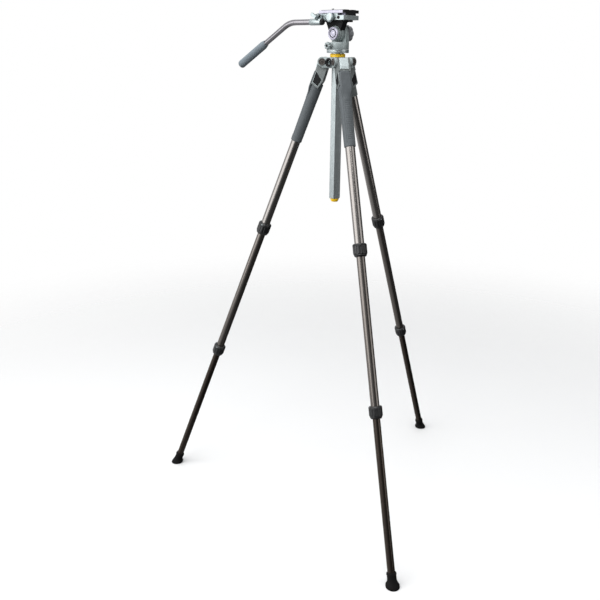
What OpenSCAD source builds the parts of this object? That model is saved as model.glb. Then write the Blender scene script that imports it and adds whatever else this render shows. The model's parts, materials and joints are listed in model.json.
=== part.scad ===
// Video tripod with a fluid pan head: three three-section legs with twist locks, a hexagonal
// centre column, and a pan and tilt head with a handle and a sliding quick-release plate.
// Millimetres, +Z up. The lens direction is -Y, and the pan handle points to +Y.
// The floor is z = 0, and x = 0, y = 0 is the middle of the box around the three feet.

/* [Stance] */
// Length of each leg from the hinge level to the floor, along the tube
leg_length = 1376; // [900:1:1700]
// Spread of each leg from the vertical, in degrees
leg_angle = 20.44; // [15:0.01:30]
// Distance from the column axis to the leg centre line at hinge level
hip_r = 34; // [34:0.5:44]
// Distance from the leg centre line out to the hinge pin
hinge_offset = 4; // [2:0.5:6]

/* [Leg tubes] */
// Outside diameter of the upper tube
upper_d = 26; // [22:1:32]
// Outside diameter of the middle tube
middle_d = 23; // [19:1:29]
// Outside diameter of the lower tube
lower_d = 20; // [16:1:26]
// Wall of every leg tube
tube_wall = 1.2; // [1:0.1:2]
// Distance down the leg to the middle of the upper twist lock
upper_lock_s = 502.5; // [350:0.5:600]
// Distance down the leg to the middle of the lower twist lock
lower_lock_s = 927; // [650:0.5:1100]
// Length of tube that stays inside the next one when the leg is long
overlap = 36; // [30:1:60]

/* [Twist locks] */
// Outside diameter of the upper twist lock
upper_lock_d = 38; // [34:0.5:42]
// Length of the upper twist lock
upper_lock_h = 35; // [28:1:42]
// Outside diameter of the lower twist lock
lower_lock_d = 36; // [30:0.5:40]
// Length of the lower twist lock
lower_lock_h = 33; // [26:1:40]

/* [Leg bracket and grip] */
// Width of the bracket between the canopy ears
bracket_w = 35.2; // [30:0.1:38]
// Distance down the leg to the end of the bracket sleeve
sleeve_s = 95; // [80:1:120]
// Distance down the leg to the end of the rubber grip
grip_s = 228; // [150:1:300]
// Outside diameter of the rubber grip at its top
grip_top_d = 35; // [32:0.5:38]
// Outside diameter of the rubber grip at its end
grip_end_d = 31; // [29:0.5:35]

/* [Foot] */
// Diameter of the foot's flat underside
foot_d = 37; // [30:1:50]
// Height of the foot's bell
foot_bell_h = 17; // [10:1:25]

/* [Centre column] */
// Width of the hexagonal column across its flats
column_af = 28; // [24:0.5:30]
// Depth of the column's end below the hinge level
column_depth = 370; // [250:1:450]
// Height of the canopy's top above the hinge level
canopy_top = 13; // [10:0.5:20]
// Diameter of the coloured ring under the head
ring_d = 41; // [34:0.5:46]
// Height of the coloured ring
ring_h = 9; // [5:0.5:12]

/* [Head] */
// Diameter of the head's base
head_d = 60; // [50:1:75]
// Height of the tilt axis above the hinge level
tilt_h = 74; // [73:0.5:80]
// Diameter of the tilt drum
drum_d = 41; // [36:0.5:44]
// Diameter of the tilt lock dial
dial_d = 46; // [36:0.5:46]
// Width of the tilting platform
platform_w = 60; // [56:1:64]
// Height of the platform's underside above the hinge level
platform_h = 107.5; // [104:0.5:115]
// Length of the quick-release plate
plate_l = 90; // [70:1:96]
// Width of the quick-release plate
plate_w = 60; // [46:1:60]

/* [Pan handle] */
// Diameter of the handle's tube
handle_d = 15; // [12:0.5:18]
// Distance from the column axis back to the start of the handle's bend
handle_reach = 117; // [80:1:180]
// Angle of the handle's bend, in degrees
handle_bend = 30; // [0:1:45]
// Radius of the bend along the tube's centre line
bend_r = 80; // [24:1:100]
// Length from the bend to the start of the rubber grip
handle_drop = 86; // [60:1:150]
// Length of the rubber grip
handle_grip_l = 123; // [100:1:160]
// Diameter of the rubber grip
handle_grip_d = 22; // [18:0.5:28]

/* [Hidden] */
$fn = 96;
run = 0.05;
gap = 0.3;
cut = 1;

// Direction of each leg about the column, in degrees from +X
front_leg = 240;
right_leg = 0;
rear_leg = 120;

hip_z = leg_length * cos(leg_angle);
foot_r = hip_r + leg_length * sin(leg_angle);
column_x = -foot_r / 4;

hinge_r = hip_r + hinge_offset * cos(leg_angle);
hinge_h = hinge_offset * sin(leg_angle);
pin_r = 4;
ear_r = 14;
ear_t = 7;
ear_in = bracket_w / 2 + gap;
ear_out = ear_in + ear_t;
barrel_r = 11;
slot_r = 18.4;
canopy_bottom = -15;

socket_s = 40;
sleeve_r = 15;

castings = [0.53, 0.56, 0.56];
dark_castings = [0.33, 0.35, 0.36];
silver = [0.74, 0.78, 0.79];
black = [0.07, 0.07, 0.07];
rubber = [0.29, 0.32, 0.35];
bronze = [0.42, 0.39, 0.37];
dark_bronze = [0.20, 0.18, 0.16];
amber = [1.0, 0.74, 0.02];

// ---------- places ----------

// Column axis, with z = 0 at hinge level
module on_column() translate([column_x, 0, hip_z]) children();

// Leg centre line at hinge level, -Z down the tube and +X away from the column
module on_leg(direction)
  on_column() rotate([0, 0, direction]) translate([hip_r, 0, 0]) rotate([0, -leg_angle, 0]) children();

// A ring of the leg between two distances down it
module down_leg(from_s, to_s, r) translate([0, 0, -to_s]) cylinder(h = to_s - from_s, r = r);

// Cylinder along +X from x0 to x1
module along_x(x0, x1, r) translate([x0, 0, 0]) rotate([0, 90, 0]) cylinder(h = x1 - x0, r = r);

// Cylinder along Y between -half and half
module across(half, r) rotate([90, 0, 0]) cylinder(h = 2 * half, r = r, center = true);

// Outline in the XZ plane, given thickness along Y from y0 to y1
module side_plate(points, y0, y1)
  translate([0, y1, 0]) rotate([90, 0, 0]) linear_extrude(y1 - y0) polygon(points);

// Outline in the YZ plane, given thickness along X from x0 to x1
module cross_plate(points, x0, x1)
  translate([x0, 0, 0]) rotate([90, 0, 90]) linear_extrude(x1 - x0) polygon(points);

module hexagon(af) rotate(30) circle(r = af / 2 / cos(30), $fn = 6);

// Rectangle with its corners cut at 45 degrees
function cut_rectangle(x0, x1, y0, y1, c) = [
  [x0 + c, y0], [x1 - c, y0], [x1, y0 + c], [x1, y1 - c],
  [x1 - c, y1], [x0 + c, y1], [x0, y1 - c], [x0, y0 + c]
];

// ---------- canopy and column ----------

// Place of a leg's hinge pin, with the pin along Y and +X away from the column
module on_hinge(direction) rotate([0, 0, direction]) translate([hinge_r, 0, hinge_h]) children();

canopy_half_angle = atan2(ear_out - 2, hinge_r + 2);
canopy_corner_r = norm([hinge_r + 2, ear_out - 2]);
canopy_waist_r = 35.5;
canopy_turns = [
  [-canopy_half_angle, canopy_corner_r], [canopy_half_angle, canopy_corner_r], [60, canopy_waist_r]
];
canopy_outline = [
  for (direction = [0, 120, 240], turn = canopy_turns)
    turn[1] * [cos(direction + turn[0]), sin(direction + turn[0])]
];
accessory_r = 4.7625;
accessory_recess_r = 9;
cap_r = 9.2;
cap_t = 2.6;
lock_screw_r = 4;

module leg_ears(direction) on_hinge(direction)
  for (side = [-1, 1])
    translate([0, side * (ear_in + ear_t / 2), 0]) {
      across(ear_t / 2, ear_r - hinge_h);
      translate([-hinge_r / 4, 0, (canopy_top + canopy_bottom) / 2 - hinge_h])
        cube([hinge_r / 2, ear_t, canopy_top - canopy_bottom - 2 * cut], center = true);
    }

// Room for a leg's bracket to swing in
module leg_slot(direction) rotate([0, 0, direction]) {
  translate([hinge_r - barrel_r - gap * 2, -ear_in, -40]) cube([80, 2 * ear_in, 80]);
  translate([slot_r, -ear_in, -40]) cube([80, 2 * ear_in, 40]);
}

module canopy() color(castings) on_column() difference() {
  union() {
    translate([0, 0, canopy_bottom]) cylinder(h = canopy_top - canopy_bottom - 4, r = 31);
    translate([0, 0, canopy_top - 8]) linear_extrude(8) polygon(canopy_outline);
    for (direction = [0, 120, 240]) leg_ears(direction);
    rotate([0, 0, 180]) along_x(20, 37, 12);
    rotate([0, 0, 60]) along_x(20, 37, 10);
  }
  for (direction = [0, 120, 240]) {
    leg_slot(direction);
    on_hinge(direction) {
      across(ear_out + cut, pin_r);
      for (side = [-1, 1]) translate([0, side * (ear_out + 0.05 + cap_t), 0]) across(cap_t, cap_r + gap);
    }
  }
  translate([0, 0, -30]) linear_extrude(60) hexagon(column_af + gap);
  rotate([0, 0, 180]) along_x(21, 38, accessory_r);
  rotate([0, 0, 180]) along_x(33, 38, accessory_recess_r);
  rotate([0, 0, 60]) along_x(10, 38, lock_screw_r + run);
}

// Lock screw for the column, with a lobed knob outside the canopy
module column_lock_knob() color(black) on_column() rotate([0, 0, 60]) {
  along_x(column_af / 2 + 2, 38, lock_screw_r);
  along_x(37.4, 42, 8);
  along_x(42, 52, 12);
  for (lobe = [0 : 60 : 300])
    rotate([lobe, 0, 0]) translate([0, 11, 0]) along_x(43, 51, 3.6);
}

column_wall = 1.8;
plug_l = 16;

module column() color(silver) on_column() difference() {
  translate([0, 0, -column_depth]) linear_extrude(column_depth + canopy_top + gap) hexagon(column_af);
  translate([0, 0, -column_depth - cut]) linear_extrude(column_depth + 2 * cut)
    hexagon(column_af - 2 * column_wall);
}

module column_ring() color(amber) on_column() translate([0, 0, canopy_top + gap]) {
  cylinder(h = 1, r = ring_d / 2 - 1);
  translate([0, 0, 1]) cylinder(h = ring_h - 2, r = ring_d / 2);
  translate([0, 0, ring_h - 1]) cylinder(h = 1, r = ring_d / 2 - 1);
}

module column_end_cap() color(amber) on_column() translate([0, 0, -column_depth]) {
  linear_extrude(plug_l) hexagon(column_af - 2 * column_wall);
  translate([0, 0, -4]) cylinder(h = 4, r = 12.5);
  translate([0, 0, -10]) cylinder(h = 6, r1 = 9, r2 = 11.5);
}

// ---------- head ----------

base_z = canopy_top + gap + ring_h;
base_foot_h = 2;
base_top = base_z + base_foot_h + 8.6;
spigot_r = 12;
body_top = 51.5;
axle_r = 6;
upright_x = 3.3;
upright_t = 11.7;
dial_x = upright_x + upright_t + gap;
platform_t = 11;
platform_front = -49;
platform_back = 52;

// Place on the head's -X side, with +X pointing away from the head
module on_side(y, z) translate([0, y, z]) rotate([0, 0, 180]) children();

module on_tilt() on_column() translate([0, 0, tilt_h]) children();

module pan_base() color(silver) on_column() {
  translate([0, 0, base_z]) cylinder(h = base_foot_h, r = 17);
  translate([0, 0, base_z + base_foot_h]) cylinder(h = 1.2, r1 = head_d / 2 - 1.2, r2 = head_d / 2);
  translate([0, 0, base_z + base_foot_h + 1.2])
    cylinder(h = base_top - base_z - base_foot_h - 1.2, r = head_d / 2);
  translate([0, 0, base_top]) cylinder(h = 14, r = spigot_r);
}

upright_foot_z = 41;
upright_outline = [[-26, upright_foot_z - tilt_h], [26, upright_foot_z - tilt_h], [24, 0], [-24, 0]];
lock_y = 2;
lock_z = 42.5;

module pan_body() color(castings) on_column() difference() {
  union() {
    translate([0, 0, base_top + gap]) cylinder(h = body_top - base_top - gap, r = head_d / 2 - 0.4);
    translate([0, 0, tilt_h]) {
      along_x(upright_x, upright_x + upright_t, 24);
      cross_plate(upright_outline, upright_x, upright_x + upright_t);
    }
    on_side(lock_y, lock_z) along_x(20, 33, 8);
  }
  translate([0, 0, base_top - cut]) cylinder(h = 14 + 2 * cut, r = spigot_r + run);
  translate([0, 0, tilt_h]) along_x(-10, 30, axle_r + run);
  on_side(lock_y, lock_z) along_x(15, 40, 3 + run);
  translate([0, 0, tilt_h]) along_x(dial_x - gap / 2, 60, dial_d / 2 + 2 * gap);
}

module pan_lock_knob() color(dark_castings) on_column() on_side(lock_y, lock_z) {
  along_x(17, 34, 3);
  along_x(33.3, 36, 7);
  along_x(36, 44, 9);
  for (lobe = [0 : 45 : 315])
    rotate([lobe, 0, 0]) translate([0, 8, 0]) along_x(36, 43, 2);
}

module tilt_drum() color(castings) on_tilt() {
  along_x(-19, -14, drum_d / 2 - 2.2);
  along_x(-14, -8, drum_d / 2 - 1);
  along_x(-8, upright_x - gap, drum_d / 2);
  along_x(0, 38, axle_r);
  translate([-8, -12, 0]) cube([11, 24, 22]);
}

module hub_cover() color(silver) on_tilt() {
  along_x(-22, -19, 17);
  along_x(-23, -22, 15.5);
}

cradle_top = platform_h - tilt_h;
cradle_rim = cradle_top - 4.5;
cradle_outline = [
  [-20, 8], [20, 8], [30, cradle_rim], [30, cradle_top], [-30, cradle_top], [-30, cradle_rim]
];
cradle_top_outline = [[-30, cradle_rim], [30, cradle_rim], [30, cradle_top], [-30, cradle_top]];

module tilt_cradle() color(black) on_tilt() difference() {
  union() {
    cross_plate(cradle_outline, -16, upright_x - gap);
    cross_plate(cradle_top_outline, -20, 24);
  }
  along_x(-30, 30, drum_d / 2 + gap);
  translate([-8 - gap, -12 - gap, 0]) cube([11 + 2 * gap, 24 + 2 * gap, 22]);
}

module tilt_dial() color(dark_castings) on_tilt() difference() {
  union() {
    along_x(dial_x, dial_x + 7, 19);
    translate([dial_x + 7, 0, 0]) rotate([0, 90, 0]) cylinder(h = 3, r1 = 20, r2 = dial_d / 2);
    along_x(dial_x + 10, dial_x + 23, dial_d / 2);
    translate([dial_x + 23, 0, 0]) rotate([0, 90, 0]) cylinder(h = 6, r1 = dial_d / 2, r2 = 17);
  }
  along_x(dial_x - cut, 38.5, axle_r + run);
  for (groove = [0 : 45 : 315])
    rotate([groove, 0, 0]) translate([0, dial_d / 2 + 2, 0]) along_x(dial_x + 9, dial_x + 30, 3.6);
}

rail_in = 19.4;
dovetail_w = 38;
plate_z = platform_h + platform_t;
dovetail_h = 5.5;
flange_h = 7.4;
pad_t = 1.4;
plate_top = plate_z + gap + dovetail_h + flange_h;
clamp_z = 113.5;
safety_y = -25;
rosette_y = 38;
rosette_z = 117.5;
rosette_r = 6.5;
half_platform = platform_w / 2;
rail_front = -22;
rail_back = 38;
rail_outline = [
  [rail_in, plate_z - cut], [platform_w / 2, plate_z - cut],
  [platform_w / 2, plate_z + 4.8], [rail_in - 1.2, plate_z + 4.8], [rail_in, plate_z]
];

module platform() color(silver) on_column() difference() {
  union() {
    translate([0, 0, platform_h]) linear_extrude(platform_t)
      polygon(cut_rectangle(-platform_w / 2, platform_w / 2, platform_front, platform_back, 6));
    side_plate(rail_outline, rail_front, rail_back);
    mirror([1, 0, 0]) side_plate(rail_outline, rail_front, rail_back);
    on_side(rosette_y, rosette_z) along_x(half_platform - 4, half_platform + 3, rosette_r);
  }
  on_side(0, clamp_z) along_x(12, half_platform + 5, 3 + run);
  on_side(safety_y, clamp_z) along_x(half_platform - 10, half_platform + 5, 4 + run);
  on_side(rosette_y, rosette_z) along_x(half_platform - 6, half_platform + 5, 3 + run);
}

module plate_clamp_knob() color(silver) on_column() on_side(0, clamp_z) {
  along_x(14, half_platform + 1, 3);
  along_x(half_platform + gap, half_platform + 3, 7);
  along_x(half_platform + 3, half_platform + 9, 12);
  translate([half_platform + 9, 0, 0]) rotate([0, 90, 0]) cylinder(h = 3, r1 = 12, r2 = 8);
}

module plate_safety_button() color(black) on_column() on_side(safety_y, clamp_z)
  along_x(half_platform - 7, half_platform + 2.2, 4);

plate_front = -44;
slot_w = 7.6;
slot_front = -8;
slot_back = 30;
screw_y = 20;
dovetail_outline = [
  [-dovetail_w / 2, plate_z + gap], [dovetail_w / 2, plate_z + gap],
  [dovetail_w / 2 - 1.5, plate_z + gap + dovetail_h], [-dovetail_w / 2 + 1.5, plate_z + gap + dovetail_h]
];

module screw_slot(w, z0, z1) translate([0, 0, z0]) {
  translate([-w / 2, slot_front, 0]) cube([w, slot_back - slot_front, z1 - z0]);
  for (y = [slot_front, slot_back]) translate([0, y, 0]) cylinder(h = z1 - z0, r = w / 2);
}

module camera_plate() color(castings) on_column() difference() {
  union() {
    side_plate(dovetail_outline, plate_front, plate_front + plate_l);
    translate([0, 0, plate_z + gap + dovetail_h]) linear_extrude(flange_h)
      polygon(cut_rectangle(-plate_w / 2, plate_w / 2, plate_front, plate_front + plate_l, 3));
  }
  screw_slot(slot_w, plate_z - cut, plate_top + cut);
  screw_slot(17, plate_z - cut, plate_z + 7);
}

module plate_pads() color(rubber) on_column() translate([0, 0, plate_top])
  for (side = [-1, 1])
    linear_extrude(pad_t) polygon(
      cut_rectangle(side * 14 - 8.5, side * 14 + 8.5, plate_front + 3, plate_front + plate_l - 3, 2));

thread_r = 3.175;
shank_r = 3.45;
screw_top = plate_top + pad_t + 5;

module camera_screw() color(silver) on_column() translate([0, screw_y, 0]) {
  translate([0, 0, plate_z + 2]) cylinder(h = 4.7, r = 7.5);
  translate([0, 0, plate_z + 6]) cylinder(h = plate_top + pad_t - plate_z - 6, r = shank_r);
  translate([0, 0, plate_top + pad_t]) cylinder(h = 4.5, r = thread_r);
  translate([0, 0, screw_top - 0.5]) cylinder(h = 0.5, r1 = thread_r, r2 = thread_r - 0.5);
}

// ---------- pan handle ----------

handle_x = -43;
handle_z = 102.5;
socket_r = 8.6;
bracket_front = 22;
bracket_back = 60;
bracket_mid = (bracket_front + bracket_back) / 2;
holder_in = -half_platform - 3 - gap;
holder_out = holder_in - 5;
elbow_lap = 2;
elbow_swell = 0.15;
handle_front = bracket_front - 3;
handle_end = handle_drop + handle_grip_l - 20;
handle_bore_r = handle_d / 2 - 1.5;

holder_outline = [
  [rosette_y - rosette_r - 1, rosette_z], [rosette_y + rosette_r + 1, rosette_z],
  [rosette_y + rosette_r + 7, handle_z - 5], [rosette_y - rosette_r - 7, handle_z - 5]
];

module handle_bracket() color(silver) on_column() difference() {
  union() {
    cross_plate(holder_outline, holder_out, holder_in);
    translate([0, rosette_y, rosette_z]) along_x(holder_out, holder_in, rosette_r + 1);
    translate([handle_x, bracket_mid, handle_z]) across((bracket_back - bracket_front) / 2, socket_r);
  }
  translate([0, rosette_y, rosette_z]) along_x(holder_out - cut, holder_in + cut, 3 + run);
  translate([handle_x, bracket_mid, handle_z]) across(bracket_back, handle_d / 2);
}

// Wing knob on the handle's clamping screw
module handle_knob() color(silver) on_column() on_side(rosette_y, rosette_z) {
  knob_x = -holder_out + gap;
  along_x(half_platform - 3, knob_x + 1, 3);
  along_x(knob_x, knob_x + 3, 6);
  translate([knob_x + 3, 0, 0]) rotate([0, 90, 0]) cylinder(h = 13, r1 = 6, r2 = 4.5);
  rotate([-wing_angle, 0, 0]) translate([knob_x + 13, -wing_l / 2, -4.5]) cube([7.5, wing_l, 9]);
}

wing_l = 21;
wing_angle = 30;

// Past the bend, with +Y along the lower straight
module after_bend() translate([handle_x, handle_reach, handle_z - bend_r])
  rotate([-handle_bend, 0, 0]) translate([0, 0, bend_r]) children();

// Cylinder along +Y from y0 to y1
module along_y(y0, y1, r) translate([0, y0, 0]) rotate([-90, 0, 0]) cylinder(h = y1 - y0, r = r);

module handle_tube() color(dark_castings) on_column() difference() {
  union() {
    translate([handle_x, 0, handle_z]) along_y(handle_front, handle_reach + elbow_lap, handle_d / 2);
    translate([handle_x, handle_reach, handle_z - bend_r]) rotate([0, -90, 0])
      rotate_extrude(angle = handle_bend) translate([bend_r, 0]) circle(r = handle_d / 2 + elbow_swell);
    after_bend() along_y(-elbow_lap, handle_end, handle_d / 2);
  }
  translate([handle_x, 0, handle_z]) along_y(handle_front - cut, handle_reach - elbow_lap, handle_bore_r);
  after_bend() along_y(elbow_lap, handle_end + cut, handle_bore_r);
}

module handle_grip() color(rubber) on_column() after_bend() rotate([-90, 0, 0]) difference() {
  union() {
    translate([0, 0, handle_drop]) cylinder(h = 12, r1 = handle_d / 2 + 1.2, r2 = handle_grip_d / 2 + 0.5);
    translate([0, 0, handle_drop + 12]) cylinder(h = handle_grip_l - 16, r = handle_grip_d / 2 + 0.5);
    translate([0, 0, handle_drop + handle_grip_l - 4]) cylinder(h = 4, r1 = handle_grip_d / 2 + 0.5, r2 = 8);
  }
  translate([0, 0, handle_drop - cut]) cylinder(h = handle_end - handle_drop + cut, r = handle_d / 2);
}

// ---------- legs ----------

tongue_x = 12.6;
tongue_top = -27;
cheek_outline = [
  [-7, 0], [-13, -14], [-14.6, -48], [-9, -70], [tongue_x, -64], [tongue_x, tongue_top],
  [14.6, tongue_top], [14.6, 8], [hinge_offset, barrel_r]
];
inlay_outline = [[11, -29], [10, -59], [-7, -64.5], [-10.5, -45]];
inlay_t = 1.2;
button_w = 24;
button_back = 12.4;
button_travel = 3;
button_outline = [[button_back, -22.5], [17, -22.5], [18.2, -15], [17, 7], [button_back, 7]];
pocket_back = button_back - button_travel - 0.4;
pocket_outline = [[pocket_back, -22.5 - gap], [20, -22.5 - gap], [20, 20], [pocket_back, 20]];

module hinge_pin(direction) color(dark_castings) on_column() on_hinge(direction) {
  across(ear_out + 1, pin_r);
  for (side = [-1, 1]) translate([0, side * (ear_out + 0.1 + cap_t / 2), 0]) across(cap_t / 2, cap_r);
}

module leg_bracket(direction) color(castings) on_leg(direction) difference() {
  union() {
    translate([hinge_offset, 0, 0]) across(bracket_w / 2, barrel_r);
    side_plate(cheek_outline, -bracket_w / 2, bracket_w / 2);
    down_leg(20, sleeve_s, sleeve_r);
  }
  translate([hinge_offset, 0, 0]) across(bracket_w, pin_r + run);
  down_leg(socket_s, sleeve_s + cut, upper_d / 2);
  side_plate(pocket_outline, -button_w / 2 - gap, button_w / 2 + gap);
  for (side = [-1, 1])
    side_plate(inlay_outline, side * bracket_w / 2 - inlay_t, side * bracket_w / 2 + inlay_t);
}

module angle_button(direction) color(silver) on_leg(direction)
  side_plate(button_outline, -button_w / 2, button_w / 2);

module inlays(direction) color(black) on_leg(direction)
  for (side = [-1, 1])
    side_plate(inlay_outline, side * (bracket_w / 2 - inlay_t / 2) - inlay_t / 2,
      side * (bracket_w / 2 - inlay_t / 2) + inlay_t / 2);

// The room that the bracket takes from the grip, which keeps a tongue up the leg's outer side
seam_side = [
  [-40, 60], [-40, -58], [-12, -58], [-9, -70], [tongue_x, -64],
  [tongue_x, tongue_top], [40, tongue_top], [40, 60]
];
tongue_outline = [
  [tongue_x - 4, -15], [tongue_x, -17], [15, -17], [grip_top_d / 2, -13],
  [grip_top_d / 2, 13], [15, 17], [tongue_x, 17], [tongue_x - 4, 15]
];

module leg_grip(direction) color(rubber) on_leg(direction) difference() {
  translate([0, 0, -grip_s]) union() {
    cylinder(h = 3, r1 = grip_end_d / 2 - 1, r2 = grip_end_d / 2);
    translate([0, 0, 3]) cylinder(h = grip_s - 23, r1 = grip_end_d / 2, r2 = grip_top_d / 2);
    translate([0, 0, grip_s - 88]) linear_extrude(63) polygon(tongue_outline);
  }
  down_leg(10, sleeve_s, sleeve_r);
  down_leg(socket_s, grip_s + cut, upper_d / 2);
  side_plate(seam_side, -40, 40);
}

// A tube of the leg between two distances down it
module leg_tube(direction, from_s, to_s, d) on_leg(direction) difference() {
  down_leg(from_s, to_s, d / 2);
  down_leg(from_s - cut, to_s + cut, d / 2 - tube_wall);
}

tube_past_lock = 4.5;

module upper_tube(direction) color(bronze)
  leg_tube(direction, socket_s, upper_lock_s + tube_past_lock, upper_d);
module middle_tube(direction) color(dark_bronze)
  leg_tube(direction, upper_lock_s - overlap, lower_lock_s + tube_past_lock, middle_d);
module lower_tube(direction) color(dark_bronze)
  leg_tube(direction, lower_lock_s - overlap, leg_length - 20, lower_d);

bush_h = 7;

// Clamping bush at the mouth of a tube, round the next smaller tube
module bush(direction, lock_s, d, next_d) color(black) on_leg(direction) difference() {
  down_leg(lock_s + tube_past_lock, lock_s + tube_past_lock + bush_h, d / 2 - 0.4);
  down_leg(lock_s, lock_s + 30, next_d / 2 + 0.2);
}

// Twist lock: a chamfered collar that turns on the end of tube d and lets tube next_d pass
module twist_lock(direction, lock_s, lock_d, lock_h, d, next_d) color(black) on_leg(direction) {
  top = lock_s - lock_h / 2;
  end = lock_s + lock_h / 2;
  r = lock_d / 2;
  difference() {
    union() {
      translate([0, 0, -top - 3]) cylinder(h = 3, r1 = r, r2 = r - 2.5);
      down_leg(top + 3, end - 9, r);
      translate([0, 0, -end + 3]) cylinder(h = 6, r1 = r - 2.5, r2 = r);
      translate([0, 0, -end]) cylinder(h = 3, r1 = r - 4, r2 = r - 2.5);
    }
    down_leg(top - cut, lock_s + tube_past_lock + bush_h + 0.5, d / 2 + run);
    down_leg(top, end + cut, next_d / 2 + gap);
  }
}

neck_top_s = leg_length - 38;

module foot(direction) color(black) {
  difference() {
    union() {
      on_leg(direction) {
        translate([0, 0, -leg_length + 12]) cylinder(h = 20, r = 12.6);
        translate([0, 0, -neck_top_s - 6]) cylinder(h = 6, r1 = 13.6, r2 = 12.4);
      }
      translate([column_x, 0, 0]) rotate([0, 0, direction]) translate([foot_r, 0, 0]) {
        cylinder(h = 6, r = foot_d / 2);
        translate([0, 0, 6]) cylinder(h = foot_bell_h - 6, r1 = foot_d / 2, r2 = 13);
      }
    }
    on_leg(direction) down_leg(neck_top_s - cut, leg_length - 20, lower_d / 2);
  }
}

// ---------- nodes ----------

canopy();
column_lock_knob();
column();
column_ring();
column_end_cap();
pan_base();
pan_body();
pan_lock_knob();
tilt_drum();
hub_cover();
tilt_cradle();
tilt_dial();
platform();
plate_clamp_knob();
plate_safety_button();
camera_plate();
plate_pads();
camera_screw();
handle_bracket();
handle_knob();
handle_tube();
handle_grip();

hinge_pin(front_leg);  // front_leg_hinge_pin
leg_bracket(front_leg);  // front_leg_bracket
angle_button(front_leg);  // front_leg_angle_button
inlays(front_leg);  // front_leg_inlays
leg_grip(front_leg);  // front_leg_grip
upper_tube(front_leg);  // front_leg_upper_tube
bush(front_leg, upper_lock_s, upper_d, middle_d);  // front_leg_upper_bush
twist_lock(front_leg, upper_lock_s, upper_lock_d, upper_lock_h, upper_d, middle_d);  // front_leg_upper_lock
middle_tube(front_leg);  // front_leg_middle_tube
bush(front_leg, lower_lock_s, middle_d, lower_d);  // front_leg_lower_bush
twist_lock(front_leg, lower_lock_s, lower_lock_d, lower_lock_h, middle_d, lower_d);  // front_leg_lower_lock
lower_tube(front_leg);  // front_leg_lower_tube
foot(front_leg);  // front_leg_foot

hinge_pin(right_leg);  // right_leg_hinge_pin
leg_bracket(right_leg);  // right_leg_bracket
angle_button(right_leg);  // right_leg_angle_button
inlays(right_leg);  // right_leg_inlays
upper_tube(right_leg);  // right_leg_upper_tube
bush(right_leg, upper_lock_s, upper_d, middle_d);  // right_leg_upper_bush
twist_lock(right_leg, upper_lock_s, upper_lock_d, upper_lock_h, upper_d, middle_d);  // right_leg_upper_lock
middle_tube(right_leg);  // right_leg_middle_tube
bush(right_leg, lower_lock_s, middle_d, lower_d);  // right_leg_lower_bush
twist_lock(right_leg, lower_lock_s, lower_lock_d, lower_lock_h, middle_d, lower_d);  // right_leg_lower_lock
lower_tube(right_leg);  // right_leg_lower_tube
foot(right_leg);  // right_leg_foot

hinge_pin(rear_leg);  // rear_leg_hinge_pin
leg_bracket(rear_leg);  // rear_leg_bracket
angle_button(rear_leg);  // rear_leg_angle_button
inlays(rear_leg);  // rear_leg_inlays
leg_grip(rear_leg);  // rear_leg_grip
upper_tube(rear_leg);  // rear_leg_upper_tube
bush(rear_leg, upper_lock_s, upper_d, middle_d);  // rear_leg_upper_bush
twist_lock(rear_leg, upper_lock_s, upper_lock_d, upper_lock_h, upper_d, middle_d);  // rear_leg_upper_lock
middle_tube(rear_leg);  // rear_leg_middle_tube
bush(rear_leg, lower_lock_s, middle_d, lower_d);  // rear_leg_lower_bush
twist_lock(rear_leg, lower_lock_s, lower_lock_d, lower_lock_h, middle_d, lower_d);  // rear_leg_lower_lock
lower_tube(rear_leg);  // rear_leg_lower_tube
foot(rear_leg);  // rear_leg_foot
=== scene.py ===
import json
import math

import bmesh
import bpy
from mathutils import Matrix, Vector


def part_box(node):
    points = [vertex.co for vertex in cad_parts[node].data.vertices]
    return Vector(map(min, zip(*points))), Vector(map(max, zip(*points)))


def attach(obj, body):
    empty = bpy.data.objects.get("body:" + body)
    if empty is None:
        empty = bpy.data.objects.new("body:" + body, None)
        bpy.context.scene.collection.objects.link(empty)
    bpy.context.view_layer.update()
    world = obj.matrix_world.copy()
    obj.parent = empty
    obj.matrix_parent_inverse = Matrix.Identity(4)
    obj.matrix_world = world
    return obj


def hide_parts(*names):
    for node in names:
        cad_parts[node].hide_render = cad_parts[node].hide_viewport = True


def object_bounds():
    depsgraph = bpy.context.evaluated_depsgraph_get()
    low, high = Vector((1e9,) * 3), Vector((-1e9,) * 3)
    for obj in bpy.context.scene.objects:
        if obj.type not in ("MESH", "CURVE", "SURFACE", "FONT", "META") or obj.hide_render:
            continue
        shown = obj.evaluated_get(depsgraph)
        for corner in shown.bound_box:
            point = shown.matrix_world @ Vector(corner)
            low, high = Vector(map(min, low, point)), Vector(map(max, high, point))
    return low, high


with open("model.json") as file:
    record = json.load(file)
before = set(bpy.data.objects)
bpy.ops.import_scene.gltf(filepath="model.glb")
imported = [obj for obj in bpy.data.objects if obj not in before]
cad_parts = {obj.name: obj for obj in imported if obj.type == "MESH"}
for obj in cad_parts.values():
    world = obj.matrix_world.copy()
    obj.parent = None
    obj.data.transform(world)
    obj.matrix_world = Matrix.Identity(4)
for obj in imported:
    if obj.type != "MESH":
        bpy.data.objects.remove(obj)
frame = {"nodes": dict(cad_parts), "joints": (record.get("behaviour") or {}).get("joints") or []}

# The object is a video tripod with a fluid pan head. Lengths inside the piece functions are millimetres;
# each piece is scaled to metres when it is placed in the shared frame.

CAD_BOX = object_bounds()
MM = 0.001
NODES = frame["nodes"]
JOINTS = {joint["name"]: joint for joint in frame["joints"]}
LEGS = ("front", "right", "rear")
TAU = 2 * math.pi

# Distances down a leg from its hinge level, along the tube
UPPER_LOCK_S = 502.5
LOWER_LOCK_S = 927.0
GRIP_TOP_S = 20.0
GRIP_END_S = 228.0
SLEEVE_END_S = 95.0
TONGUE_TOP_S = 27.0

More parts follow.
